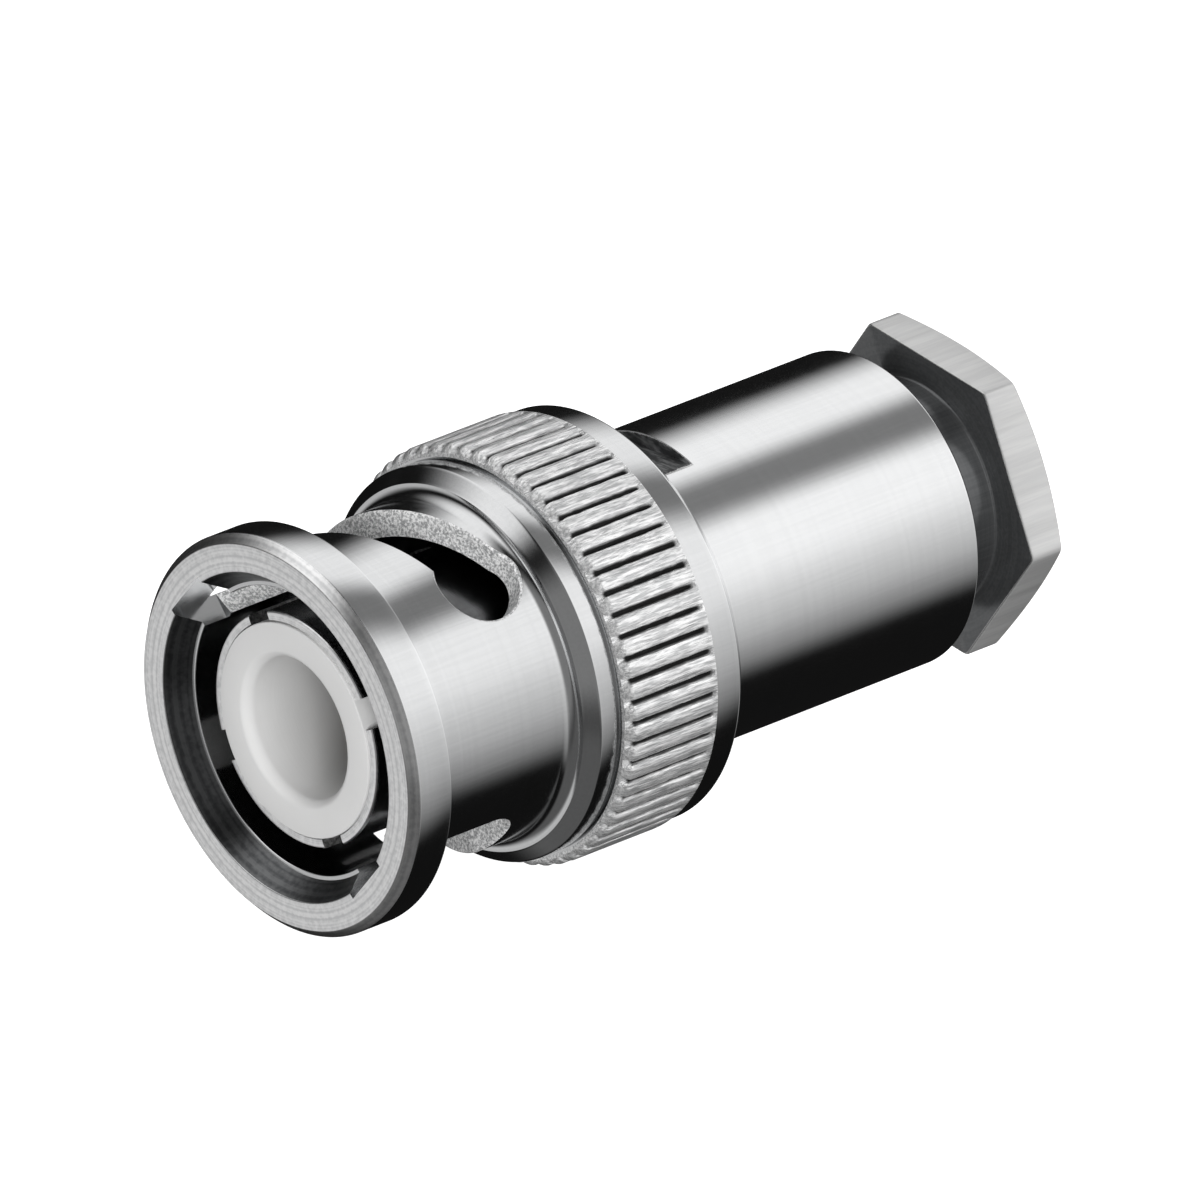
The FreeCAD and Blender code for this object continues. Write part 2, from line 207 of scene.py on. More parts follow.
# Colour sockets of a Mix node
MIX_FIRST = 6
MIX_SECOND = 7
MIX_RESULT = 2


def new_material(name):
    """Material without nodes, and its node tree."""
    material = bpy.data.materials.new(name)
    material.use_nodes = True
    tree = material.node_tree
    tree.nodes.clear()
    return material, tree


def feed(tree, value, socket):
    """Gives a shader input its value: a number, a colour or another node's output."""
    if isinstance(value, bpy.types.NodeSocket):
        tree.links.new(value, socket)
    elif isinstance(value, tuple):
        socket.default_value = (*value, 1.0)
    else:
        socket.default_value = value


def math_node(tree, operation, *values):
    """Output of a Math node."""
    node = tree.nodes.new("ShaderNodeMath")
    node.operation = operation
    for value, socket in zip(values, node.inputs):
        feed(tree, value, socket)
    return node.outputs[0]


def smooth_step(tree, value, start, end, low=0.0, high=1.0):
    """Soft ramp of a value between two limits."""
    node = tree.nodes.new("ShaderNodeMapRange")
    node.interpolation_type = "SMOOTHSTEP"
    tree.links.new(value, node.inputs["Value"])
    node.inputs["From Min"].default_value = start
    node.inputs["From Max"].default_value = end
    node.inputs["To Min"].default_value = low
    node.inputs["To Max"].default_value = high
    return node.outputs["Result"]


def axis_coordinates(tree):
    """Place along the axis, across it and up, in millimetres, and the distance from the axis."""
    place = tree.nodes.new("ShaderNodeTexCoord")
    split = tree.nodes.new("ShaderNodeSeparateXYZ")
    tree.links.new(place.outputs["Object"], split.inputs[0])
    x, y, z = (math_node(tree, "MULTIPLY", split.outputs[axis], 1 / MM) for axis in range(3))
    square = math_node(tree, "MULTIPLY_ADD", y, y, math_node(tree, "MULTIPLY", z, z))
    return x, y, z, math_node(tree, "SQRT", square)


def joined(tree, *values):
    """Vector of three values."""
    node = tree.nodes.new("ShaderNodeCombineXYZ")
    for value, socket in zip(values, node.inputs):
        feed(tree, value, socket)
    return node.outputs[0]


def stretched(tree, x, y, z, share):
    """Vector with only a share of the place along the axis, so that grain runs along it."""
    return joined(tree, math_node(tree, "MULTIPLY", x, share), y, z)


def noise(tree, vector, scale, detail=2.0, roughness=0.5):
    """Noise over a vector in millimetres."""
    node = tree.nodes.new("ShaderNodeTexNoise")
    tree.links.new(vector, node.inputs["Vector"])
    node.inputs["Scale"].default_value = scale
    node.inputs["Detail"].default_value = detail
    node.inputs["Roughness"].default_value = roughness
    return node.outputs["Fac"]


def bump(tree, height, distance_mm, normal=None):
    """Bumped normal from a height between 0 and 1."""
    node = tree.nodes.new("ShaderNodeBump")
    node.inputs["Distance"].default_value = distance_mm * MM
    tree.links.new(height, node.inputs["Height"])
    if normal is not None:
        tree.links.new(normal, node.inputs["Normal"])
    return node.outputs["Normal"]


def surface(tree, colour, metallic, roughness, normal=None, **extra):
    """Principled surface. Extra inputs are named with an underscore for each space."""
    shader = tree.nodes.new("ShaderNodeBsdfPrincipled")
    output = tree.nodes.new("ShaderNodeOutputMaterial")
    tree.links.new(shader.outputs[0], output.inputs["Surface"])
    feed(tree, colour, shader.inputs["Base Color"])
    feed(tree, metallic, shader.inputs["Metallic"])
    feed(tree, roughness, shader.inputs["Roughness"])
    if normal is not None:
        feed(tree, normal, shader.inputs["Normal"])
    for name, value in extra.items():
        feed(tree, value, shader.inputs[name.replace("_", " ")])


def blend(tree, factor, first, second):
    """Colour between two, by a factor."""
    node = tree.nodes.new("ShaderNodeMix")
    node.data_type = "RGBA"
    feed(tree, factor, node.inputs[0])
    feed(tree, first, node.inputs[MIX_FIRST])
    feed(tree, second, node.inputs[MIX_SECOND])
    return node.outputs[MIX_RESULT]


# Materials


def turned_metal(name, dark, light, roughness, ring_depth, streak_depth, metallic=1.0):
    """Plated metal with the tool's rings, faint streaks along the axis and uneven gloss."""
    material, tree = new_material(name)
    x, y, z, r = axis_coordinates(tree)
    rings = noise(tree, stretched(tree, x, r, 0.0, 0.25), 14.0, 3.0, 0.7)
    streaks = noise(tree, stretched(tree, x, y, z, 0.03), 9.0, 3.0, 0.6)
    grain = noise(tree, joined(tree, x, y, z), 1.6, 3.0)
    normal = bump(tree, rings, ring_depth)
    normal = bump(tree, streaks, streak_depth, normal=normal)
    gloss = smooth_step(tree, grain, 0.3, 0.7, roughness * 0.95, roughness * 1.08)
    lines = smooth_step(tree, math_node(tree, "ADD", rings, streaks), 0.8, 1.2)
    colour = blend(tree, lines, dark, light)
    surface(tree, colour, metallic, gloss, normal)
    return material


def faced_metal(name, dark, light, roughness, ring_scale, ring_depth):
    """Plated metal with the rings that a facing tool leaves round the axis."""
    material, tree = new_material(name)
    x, y, z, r = axis_coordinates(tree)
    rings = noise(tree, stretched(tree, x, r, 0.0, 0.5), ring_scale, 3.0, 0.6)
    grain = noise(tree, joined(tree, x, y, z), 5.0, 2.0)
    mixed = math_node(tree, "MULTIPLY_ADD", grain, 0.35, math_node(tree, "MULTIPLY", rings, 0.65))
    colour = blend(tree, smooth_step(tree, mixed, 0.38, 0.62), dark, light)
    surface(tree, colour, 1.0, roughness, bump(tree, mixed, ring_depth))
    return material


def wrench_flat_metal():
    """Dark milled flat with the cutter's marks across it and a painted highlight along its edge."""
    material, tree = new_material("wrench_flat")
    x, y, z, r = axis_coordinates(tree)
    across = math_node(tree, "MULTIPLY", y, 0.12)
    up = math_node(tree, "MULTIPLY", z, 0.3)
    marks = noise(tree, joined(tree, x, across, up), 6.0, 3.0, 0.7)
    bright = smooth_step(tree, marks, 0.42, 0.66)
    colour = blend(tree, bright, (0.07, 0.072, 0.074), (0.36, 0.365, 0.37))
    # Painted highlight: white in a wavy band next to the shell's outer radius
    highlight_wobble = noise(tree, joined(tree, x, y, z), 9.0, 1.0)
    from_edge = math_node(tree, "SUBTRACT", r, SHELL_R)
    from_edge = math_node(tree, "MULTIPLY_ADD", highlight_wobble, EDGE_HIGHLIGHT_WAVINESS, from_edge)
    edge = smooth_step(tree, from_edge, -0.015, 0.015)
    colour = blend(tree, edge, colour, WHITE)
    surface(tree, colour, 0.6, 0.3, bump(tree, marks, 0.02))
    return material


def mottled_metal(
    name, dark, light, roughness, grain_scale, grain_depth, groove_shade_r=None, metallic=1.0, share=1.0
):
    """Plated metal that a knurling wheel or a cutter left rough, with painted shade below a radius.
    """
    material, tree = new_material(name)
    x, y, z, r = axis_coordinates(tree)
    coarse = noise(tree, stretched(tree, x, y, z, 0.45 * share), grain_scale * 0.35, 3.0, 0.6)
    fine = noise(tree, stretched(tree, x, y, z, share), grain_scale, 2.0, 0.7)
    normal = bump(tree, fine, grain_depth)
    normal = bump(tree, coarse, grain_depth * 1.6, normal=normal)
    gloss = smooth_step(tree, coarse, 0.3, 0.7, roughness * 0.8, roughness * 1.3)
    colour = blend(tree, smooth_step(tree, fine, 0.35, 0.65), dark, light)
    # Painted shade: dark colour in the knurl's grooves, below a radius and behind the scalloped
    # front
    if groove_shade_r is not None:
        high = smooth_step(tree, r, groove_shade_r - GROOVE_SHADE_FADE, groove_shade_r)
        front = smooth_step(tree, x, GROOVE_SHADE_X, GROOVE_SHADE_X + 0.15, 1.0, 0.0)
        colour = blend(tree, math_node(tree, "MAXIMUM", high, front), GROOVE_SHADE_COLOUR, colour)
    surface(tree, colour, metallic, gloss, normal)
    return material


def white_ptfe():
    """Turned white PTFE: waxy, with the faintest tool rings."""
    material, tree = new_material("ptfe")
    x, y, z, r = axis_coordinates(tree)
    rings = noise(tree, joined(tree, x, r, 0.0), 9.0, 2.0)
    cloud = noise(tree, joined(tree, x, y, z), 0.8, 2.0)
    colour = blend(tree, cloud, (0.85, 0.85, 0.845), (0.9, 0.9, 0.895))
    # Painted shade, darker deeper into the socket
    deep = smooth_step(tree, x, SOCKET_FRONT, SOCKET_FRONT + 4.0)
    inside = smooth_step(tree, r, *SOCKET_WALL, 1.0, 0.0)
    colour = blend(tree, math_node(tree, "MULTIPLY", deep, inside), colour, SOCKET_SHADE_COLOUR)
    surface(tree, colour, 0.0, 0.42, bump(tree, rings, 0.004), Specular_IOR_Level=0.35)
    return material


def black_rubber():
    """Moulded black rubber with a fine dull grain."""
    material, tree = new_material("seal_rubber")
    x, y, z, r = axis_coordinates(tree)
    grain = noise(tree, joined(tree, x, y, z), 18.0, 3.0)
    colour = blend(tree, grain, (0.018, 0.018, 0.018), (0.04, 0.04, 0.04))
    surface(tree, colour, 0.0, 0.6, bump(tree, grain, 0.01))
    return material


nickel = turned_metal(
    "nickel_plate", (0.74, 0.745, 0.75), (0.765, 0.77, 0.775), 0.13, 0.0003, 0.0004
)
coupling_nickel = turned_metal(
    "coupling_plate", (0.66, 0.665, 0.67), (0.69, 0.695, 0.70), 0.13, 0.0004, 0.0004
)
faced_nickel = faced_metal("faced_nickel", (0.72, 0.725, 0.73), WHITE, 0.3, 7.0, 0.006)
# Darker copy of the faced finish, painting the shade in the coupling's mouth
mouth_shade_nickel = faced_metal(
    "mouth_shade_nickel", (0.075, 0.077, 0.08), (0.15, 0.153, 0.156), 0.28, 6.0, 0.005
)
knurl_nickel = mottled_metal(
    "knurled_nickel", (0.55, 0.555, 0.56), WHITE, 0.3, 11.0, 0.03,
    groove_shade_r=GROOVE_TOP_R, metallic=0.65, share=0.12
)
# Milled grain on the slot walls: its light and dark flecks are partly real grain and partly painted
# glints
milled_glint_nickel = mottled_metal(
    "milled_glint_nickel", (0.34, 0.345, 0.35), WHITE, 0.45, 10.0, 0.03, metallic=0.1
)
# Dark grain on the saw cuts' walls: painted shade from deep inside the coupling
sawn_shade_nickel = mottled_metal("sawn_shade_nickel", (0.12, 0.12, 0.12), (0.3, 0.3, 0.3), 0.35, 9.0, 0.03)
flat_nickel = wrench_flat_metal()
satin_nickel = turned_metal(
    "nut_nickel_plate", (0.70, 0.70, 0.70), (0.78, 0.78, 0.775), 0.24, 0.003, 0.0012
)
# Polished nickel of the hexagon's front face and neck, its dark colour painted shade and dark
# reflection
polished_shade_nickel = turned_metal(
    "nut_face", (0.1, 0.103, 0.106), (0.125, 0.128, 0.131), 0.15, 0.001, 0.0004, metallic=0.6
)
nut_flat_nickel = mottled_metal(
    "nut_flats", (0.6, 0.6, 0.6), (0.655, 0.655, 0.65), 0.42, 6.0, 0.003, metallic=0.55, share=0.05
)
# Dark nickel of the sleeve: painted shade from deep inside the coupling
contact_shade_nickel = turned_metal(
    "contact_shade_nickel", (0.25, 0.25, 0.255), (0.29, 0.295, 0.3), 0.22, 0.001, 0.0004
)
spring_steel = turned_metal(
    "spring_steel", (0.52, 0.52, 0.52), (0.62, 0.62, 0.62), 0.3, 0.003, 0.001
)
gold = turned_metal("contact_gold", (0.80, 0.62, 0.30), (0.88, 0.72, 0.38), 0.22, 0.003, 0.0008)
ptfe = white_ptfe()
rubber = black_rubber()


# Mesh helpers


def section_with_edges(corners):
    """Closed section from (x, r, ease) corners, each corner eased over that length."""
    section = []
    for place, (x, r, ease) in enumerate(corners):
        if ease == 0:
            section.append((x, r))
            continue
        corner = Vector((x, r))
        before = Vector(corners[place - 1][:2]) - corner
        after = Vector(corners[(place + 1) % len(corners)][:2]) - corner
        start = corner + before.normalized() * ease
        end = corner + after.normalized() * ease
        for step in range(EDGE_STEPS + 1):
            t = step / EDGE_STEPS
            point = start * (1 - t) ** 2 + corner * 2 * t * (1 - t) + end * t ** 2
            section.append((point.x, point.y))
    return section


def arc(x, r, radius, start, end, steps=8):
    """Corners along a round of the section, with angles from +x towards +r."""
    turns = [math.radians(start + (end - start) * step / steps) for step in range(steps + 1)]
    return [(x + radius * math.cos(turn), r + radius * math.sin(turn), 0) for turn in turns]


def placed(name, data):
    """Object of a mesh, lamp or camera, in the scene."""
    thing = bpy.data.objects.new(name, data)
    bpy.context.scene.collection.objects.link(thing)
    return thing


def closed_object(name, points, faces, slots, materials):
    """Object from a closed mesh in metres, with its faces turned outwards."""
    mesh = bpy.data.meshes.new(name)
    mesh.from_pydata(points, [], faces)
    if slots:
        mesh.polygons.foreach_set("material_index", slots)
    for material in materials:
        mesh.materials.append(material)
    work = bmesh.new()
    work.from_mesh(mesh)
    bmesh.ops.recalc_face_normals(work, faces=work.faces)
    work.to_mesh(mesh)
    work.free()
    return placed(name, mesh)


class Skin:
    """Closed surface built ring by ring about the axis."""

    def __init__(self):
        self.points = []
        self.faces = []
        self.slots = []

    def ring(self, x, r, count=SEGMENTS):
        """New ring. x and r may hold one value for each of its points."""
        turn = np.arange(count) * 2 * math.pi / count
        x = np.broadcast_to(x, count)
        r = np.broadcast_to(r, count)
        first = len(self.points)
        self.points += list(zip(x, r * np.cos(turn), r * np.sin(turn)))
        return list(range(first, first + count))

    def join(self, ring, after, slot=0):
        """Faces between two rings, of which one may be a whole number of times as fine."""
        coarse, fine = sorted((ring, after), key=len)
        share = len(fine) // len(coarse)
        made = []
        for part, point in enumerate(coarse):
            opposite = coarse[(part + 1) % len(coarse)]
            beside = [fine[(part * share + k) % len(fine)] for k in range(share + 1)]
            if share == 1:
                made.append((point, opposite, beside[1], beside[0]))
                continue
            half = share // 2
            made += [(point, beside[k + 1], beside[k]) for k in range(half)]
            made.append((point, opposite, beside[half]))
            made += [(opposite, beside[k + 1], beside[k]) for k in range(half, share)]
        self.faces += made
        self.slots += [slot] * len(made)

    def run(self, section, count=SEGMENTS):
        """Rings along a section, joined one to the next. Returns the first and the last."""
        rings = [self.ring(x, r, count) for x, r in section]
        for ring, after in zip(rings, rings[1:]):
            self.join(ring, after)
        return rings[0], rings[-1]

    def face_places(self):
        """Mean place along the axis and mean radius of each face."""
        x, y, z = np.array(self.points).T
        r = np.hypot(y, z)
        return [(x[list(face)].mean(), r[list(face)].mean()) for face in self.faces]

    def build(self, name, materials):
        """Mesh object in metres."""
        points = [(x * MM, y * MM, z * MM) for x, y, z in self.points]
        return closed_object(name, points, self.faces, self.slots, materials)


def turned(name, corners, material, count=SEGMENTS):
    """Object turned from a closed section of (x, r, ease) corners."""
    skin = Skin()
    first, last = skin.run(section_with_edges(corners), count)
    skin.join(last, first)
    return skin.build(name, [material])


def block(name, low, high, turn, material):
    """Box cutter between two corners in millimetres, turned about the axis."""
    corners = itertools.product(*zip(low, high))
    faces = [(0, 1, 3, 2), (4, 6, 7, 5), (0, 4, 5, 1), (2, 3, 7, 6), (0, 2, 6, 4), (1, 5, 7, 3)]
    points = [tuple(c * MM for c in corner) for corner in corners]
    cutter = closed_object(name, points, faces, [], [material])
    cutter.data.transform(Matrix.Rotation(math.radians(turn), 4, "X"))
    return cutter


def cut(piece, cutters):
    """Takes the cutters out of the piece. The new walls keep the cutters' materials."""
    tools = bpy.data.collections.new("cutters")
    for cutter in cutters:
        tools.objects.link(cutter)
    change = piece.modifiers.new("cut", "BOOLEAN")
    change.operation = "DIFFERENCE"
    change.solver = "EXACT"
    change.material_mode = "TRANSFER"
    change.operand_type = "COLLECTION"
    change.collection = tools
    depsgraph = bpy.context.evaluated_depsgraph_get()
    mesh = bpy.data.meshes.new_from_object(piece.evaluated_get(depsgraph), depsgraph=depsgraph)
    piece.modifiers.clear()
    piece.data = mesh
    for cutter in cutters:
        bpy.data.objects.remove(cutter)
    bpy.data.collections.remove(tools)


def shade(piece):
    """Smooth shading that breaks at real edges."""
    piece.data.polygons.foreach_set("use_smooth", [True] * len(piece.data.polygons))
    piece.data.set_sharp_from_angle(angle=SHARP_ANGLE)
    weigh = piece.modifiers.new("weighted_normals", "WEIGHTED_NORMAL")
    weigh.keep_sharp = True


def split_finishes(piece):
    """Breaks the shading wherever two finishes meet, also at a flat angle."""
    finishes = {}
    for face in piece.data.polygons:
        for key in face.edge_keys:
            finishes.setdefault(key, set()).add(face.material_index)
    for edge in piece.data.edges:
        if len(finishes[edge.key]) > 1:
            edge.use_edge_sharp = True


def dress(piece, body, slot, *nodes):
    """Puts a finished piece on its body in place of its CAD node."""
    shade(piece)
    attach(piece, body)
    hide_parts(*nodes)


# Bayonet coupling


def knurl_row(x, tooth_random):
    """Radii round the grip at one place along it."""
    count = TEETH * TOOTH_POINTS
    place = (np.arange(count) + TOOTH_POINTS / 2) / TOOTH_POINTS
    tooth = place.astype(int) % TEETH
    pitch = 2 * math.pi * KNURL_R / TEETH
    from_groove = np.abs(place % 1 - 0.5) * pitch
    front = np.clip((x - KNURL_START) / SCALLOP_LENGTH, 0, 1)
    land_r = KNURL_R - SCALLOP_DROP * (1 - front) ** 1.6
    wander = tooth_random[tooth, int((x - KNURL_START) / WANDER_LENGTH) % WANDER_STEPS]
    # Half the groove's width at its top, which opens out to the front
    half_width = GROOVE_HALF_WIDTH + 0.1 * (1 - front) ** 2 + 0.025 * wander
    wall = np.clip((half_width - from_groove) / (half_width - 0.02), 0, 1)
    crown = LAND_CROWN * (from_groove / (pitch / 2) - 1) ** 2
    fade = np.clip((KNURL_END - 0.02 + 0.05 * wander - x) / 0.12, 0, 1)
    return np.maximum(land_r - (crown + (KNURL_DEPTH - crown) * wall) * fade, KNURL_R - KNURL_DEPTH)


def slot_edges(turn, lip):
    """Front and rear edge of a slot at an angle past its entry groove, widened by a lip."""
    half_width = CAM_HALF_WIDTH + lip
    middle = CAM_START + CAM_PITCH * turn / 360
    lock_x = CAM_START + CAM_PITCH * CAM_TURN / 360 - LOCK_SETBACK
    entry_radius = ENTRY_HALF_WIDTH + lip
    level = ENTRY_END + entry_radius
    spans = []
    if 0 <= turn <= CAM_TURN:
        spans.append((middle - half_width, middle + half_width))
    if 0 <= turn <= LEVEL_TURN:
        spans.append((middle, level))
    for centre, x, radius in ((0.0, ENTRY_END, entry_radius), (CAM_TURN, lock_x, LOCK_R + lip)):
        across = math.radians(turn - centre) * BARREL_R
        if abs(across) < radius:
            rise = math.sqrt(radius ** 2 - across ** 2)
            spans.append((x - rise, x + rise))
    if abs(turn) < math.degrees(entry_radius / BARREL_R):
        spans.append((RIM_LENGTH - 0.02, ENTRY_END))
    return min(span[0] for span in spans), max(span[1] for span in spans)


def slot_outline(lip):
    """Loop of (angle, x) round a slot, with as many points whatever the lip."""
    last = CAM_TURN + math.degrees(LOCK_R / BARREL_R)
    entry = math.degrees(ENTRY_HALF_WIDTH / BARREL_R)
    end = 0.02
    turns = [-entry + end, -entry + 0.1, -entry + 0.25]
    turns += [float(turn) for turn in range(-10, 11)]
    turns += [entry - end, entry + end]
    turns += [float(turn) for turn in range(12, math.floor(last))]
    turns += [last - 0.8, last - 0.4, last - 0.15, last - end]
    wider = math.degrees(lip / BARREL_R)
    known = (-entry, 0.0, entry, entry + 5, last - 5, last)
    moved = (-entry - wider, 0.0, entry + wider, entry + 5, last - 5, last + wider)
    turns = sorted(float(turn) for turn in np.interp(turns, known, moved))
    edges = [slot_edges(turn, lip) for turn in turns]
    front = [(turn, edge[0]) for turn, edge in zip(turns, edges)]
    rear = [(turn, edge[1]) for turn, edge in zip(turns, edges)]
    return front + rear[::-1]


def slot_cutter(angle):
    """Cutter of one slot's part behind the rim, wrapped round the barrel, with a broken edge."""
    levels = (
        (4.7, 0.0),
        (BARREL_R - SLOT_LIP, 0.0),
        (BARREL_R + 0.01, SLOT_LIP + 0.01),
        (6.6, SLOT_LIP + 0.01),
    )
    points = []
    for radius, lip in levels:
        for turn, x in slot_outline(lip):
            around = math.radians(turn + angle)
            points.append((x * MM, radius * math.cos(around) * MM, radius * math.sin(around) * MM))
    size = len(points) // len(levels)
    faces = []
    for low in range(0, size * (len(levels) - 1), size):
        for place in range(size):
            after = (place + 1) % size
            faces.append((low + place, low + after, low + size + after, low + size + place))
    top = size * (len(levels) - 1)
    for place in range(size // 2 - 1):
        across = (place, size - 1 - place, size - 2 - place, place + 1)
        faces.append(across)
        faces.append(tuple(top + corner for corner in across[::-1]))
    return closed_object("slot_cutter", points, faces, [], [milled_glint_nickel])


def entry_cutter(angle):
    """Cutter of the blind groove under the rim."""
    low = (-1, 4.0, -ENTRY_HALF_WIDTH)
    high = (RIM_LENGTH + 0.2, ENTRY_FLOOR_R, ENTRY_HALF_WIDTH)
    return block("entry_cutter", low, high, angle, coupling_nickel)


def bayonet_coupling():
    """Coupling with its cove, knurl, retaining groove and two bayonet slots."""
    skin = Skin()
    front = section_with_edges([
        (11.18, COUPLING_BORE_R, 0),
        (MOUTH_DEPTH, COUPLING_BORE_R, 0.05),
        (MOUTH_DEPTH, 5.1, 0),
        (0, MOUTH_R, 0.03),
        (0, 6.6, 0.03),
        (0.3, RIM_R, 0.04),
        (RIM_LENGTH, RIM_R, 0.1),
        (RIM_LENGTH, BARREL_R, 0.02),
        *arc(7.35, 6.3, 0.45, -90, 0),
        (7.86, 6.36, 0),
        (8.14, 6.72, 0),
        (8.2, 6.78, 0.03),
        (8.85, 6.78, 0.03),
        (8.85, 6.66, 0),
        (KNURL_START, 6.66, 0),
        (KNURL_START, 6.85, 0),
    ])
    first, last = skin.run(front)
    for face, (x, r) in enumerate(skin.face_places()):
        if x < FACED_END:
            skin.slots[face] = FACED
        # The mouth's inner faces take the finish with painted shade
        if x < MOUTH_DEPTH and r < MOUTH_R - 0.03:
            skin.slots[face] = MOUTH
    tooth_random = np.random.default_rng(7).uniform(-1, 1, (TEETH, WANDER_STEPS))
    fine = TEETH * TOOTH_POINTS
    ring = skin.ring(KNURL_START + 0.01, KNURL_R - KNURL_DEPTH, fine)
    skin.join(last, ring, KNURLED)
    scallop = (9.03, 9.08, 9.14, 9.2, 9.27, 9.35)
    run_out = (12.62, 12.68, 12.74, 12.8)
    for x in (*scallop, *np.arange(9.5, 12.6, WANDER_LENGTH), *run_out):
        after = skin.ring(x, knurl_row(x, tooth_random), fine)
        skin.join(ring, after, KNURLED)
        ring = after
    after = skin.ring(12.87, COLLAR_R, fine)
    skin.join(ring, after, KNURLED)
    rear = section_with_edges([
        (13.0, COLLAR_R, 0),
        (13.85, COLLAR_R, 0.05),
        (14.2, 6.8, 0.05),
        (14.2, 6.35, 0.04),
        (13.6, 6.35, 0),
        (13.6, 6.67, 0),
        (13.13, 6.67, 0),
        (13.13, 6.35, 0),
        (11.18, 6.35, 0),
    ])
    start, end = skin.run(rear)
    skin.join(after, start)
    skin.join(end, first)
    materials = [coupling_nickel, knurl_nickel, milled_glint_nickel, faced_nickel, mouth_shade_nickel]
    coupling = skin.build("knurled_coupling", materials)
    cutters = [make(angle) for angle in SLOT_ANGLES for make in (slot_cutter, entry_cutter)]
    cut(coupling, cutters)
    dress(coupling, "coupling", "nickel_plate", "bayonet_coupling")


# Body shell


def body_shell():
    """Shell with its flange, wrench flats and rear bore."""
    shell = turned("turned_shell", [
        (11.2, 4.27, 0),
        (11.2, 6.25, 0.05),
        (12.0, 6.25, 0.05),
        (12.0, SHELL_R, 0),
        (25.72, SHELL_R, 0.04),
        (25.87, 5.3, 0.04),
        (25.87, 4.05, 0.04),
        (17.0, 4.05, 0),
        (17.0, 3.72, 0),
        (13.0, 3.72, 0),
        (13.0, 4.27, 0),
    ], nickel)
    reach = 2 * SHELL_R
    low = (FLAT_START, FLAT_R, -reach)
    high = (FLAT_END, reach, reach)
    cut(shell, [block("flat_cutter", low, high, angle, flat_nickel) for angle in FLAT_ANGLES])
    dress(shell, "connector_body", "nickel_plate", "body_shell")
    split_finishes(shell)


# Contact sleeve and front insulator


def contact_sleeve():
    """Thin tube sawn into four fingers, with rounded tips."""
    sleeve = turned("finger_sleeve", [
        (0.87, 3.72, 0.05),
        (0.87, 4.05, 0.11),
        (10.6, 4.05, 0),
        (10.6, 4.25, 0),
        (13.0, 4.25, 0),
        (13.0, 3.72, 0),
    ], contact_shade_nickel, 240)
    sleeve.data.materials.append(faced_nickel)
    for face in sleeve.data.polygons:
        if face.center.x < TIP_END * MM:
            face.material_index = 1
    low = (-1, -6, -FINGER_SLOT_WIDTH / 2)
    high = (FINGER_SLOT_END, 6, FINGER_SLOT_WIDTH / 2)
    # The saw cuts' walls take the dark finish of painted shade
    cut(sleeve, [block("saw", low, high, angle, sawn_shade_nickel) for angle in FINGER_ANGLES])
    dress(sleeve, "connector_body", "nickel_plate", "contact_sleeve")


def front_insulator():
    """Long white insulator with softened edges round its face and socket."""
    insulator = turned("white_insulator", [
        (0.8, 2.67, 0.08),
        (0.8, 3.7, 0.06),
        (13.6, 3.7, 0.05),
        (13.6, 1.22, 0),
        (12.8, 1.22, 0),
        (12.8, 0.92, 0),
        (9.0, 0.92, 0.05),
        (9.0, 2.45, 0),
        (1.02, 2.45, 0.2),
    ], ptfe, 240)
    dress(insulator, "connector_body", "ptfe", "front_insulator")


# Clamp nut


def hexagon_radius(turn):
    """Distance from the axis to the hexagon's side, with its corners rounded a little."""
    sides = [math.radians(HEX_FLAT_ANGLE + 60 * side) for side in range(6)]
    reach = sum(np.maximum(np.cos(turn - side), 0) ** 90 for side in sides)
    return HEX_HALF_WIDTH / reach ** (1 / 90)


def thread_row(x, turn):
    """Radii round the nut's thread at one place along it."""
    phase = (x / THREAD_PITCH - turn / (2 * math.pi)) % 1
    flank = np.clip(np.abs(phase - 0.5) * 2.6 - 0.15, 0, 1)
    crest = THREAD_CREST_R - THREAD_DEPTH * (1 - flank)
    lead = THREAD_START_R + max(x - THREAD_START, 0)
    return np.minimum(crest, lead)


def clamp_nut():
    """Hexagon nut with its thread, relief and cable hole."""
    count = 360
    turn = np.arange(count) * 2 * math.pi / count
    side_r = hexagon_radius(turn)
    chamfer_x = HEX_REAR - np.maximum(side_r - HEX_REAR_R, 0) * HEX_CHAMFER
    skin = Skin()
    first, ring = skin.run(section_with_edges([
        (HEX_REAR, 2.95, 0),
        (29.35, CABLE_HOLE_R, 0.04),
        (THREAD_START, CABLE_HOLE_R, 0.05),
        (THREAD_START, THREAD_START_R, 0),
    ]), count)
    for x in np.arange(THREAD_START + 0.05, THREAD_END, THREAD_PITCH / 16):
        after = skin.ring(x, thread_row(x, turn), count)
        skin.join(ring, after)
        ring = after
    hexagon = (
        (HEX_FRONT, side_r - 0.07, POLISHED_SHADE),
        (HEX_FRONT + 0.02, side_r - 0.03, SATIN),
        (HEX_FRONT + 0.07, side_r, FLAT),
        (chamfer_x - 0.04, side_r, FLAT),
        (chamfer_x + 0.015, side_r - 0.06, SATIN),
        (HEX_REAR - 0.02, HEX_REAR_R + 0.05, SATIN),
        (HEX_REAR, HEX_REAR_R - 0.05, SATIN),
    )
    for x, r, slot in NECK + hexagon:
        after = skin.ring(x, r, count)
        skin.join(ring, after, slot)
        ring = after
    skin.join(ring, first)
    nut = skin.build("hexagon_nut", [satin_nickel, polished_shade_nickel, nut_flat_nickel])
    dress(nut, "nut", "nut_nickel_plate", "clamp_nut")


# Wave washers


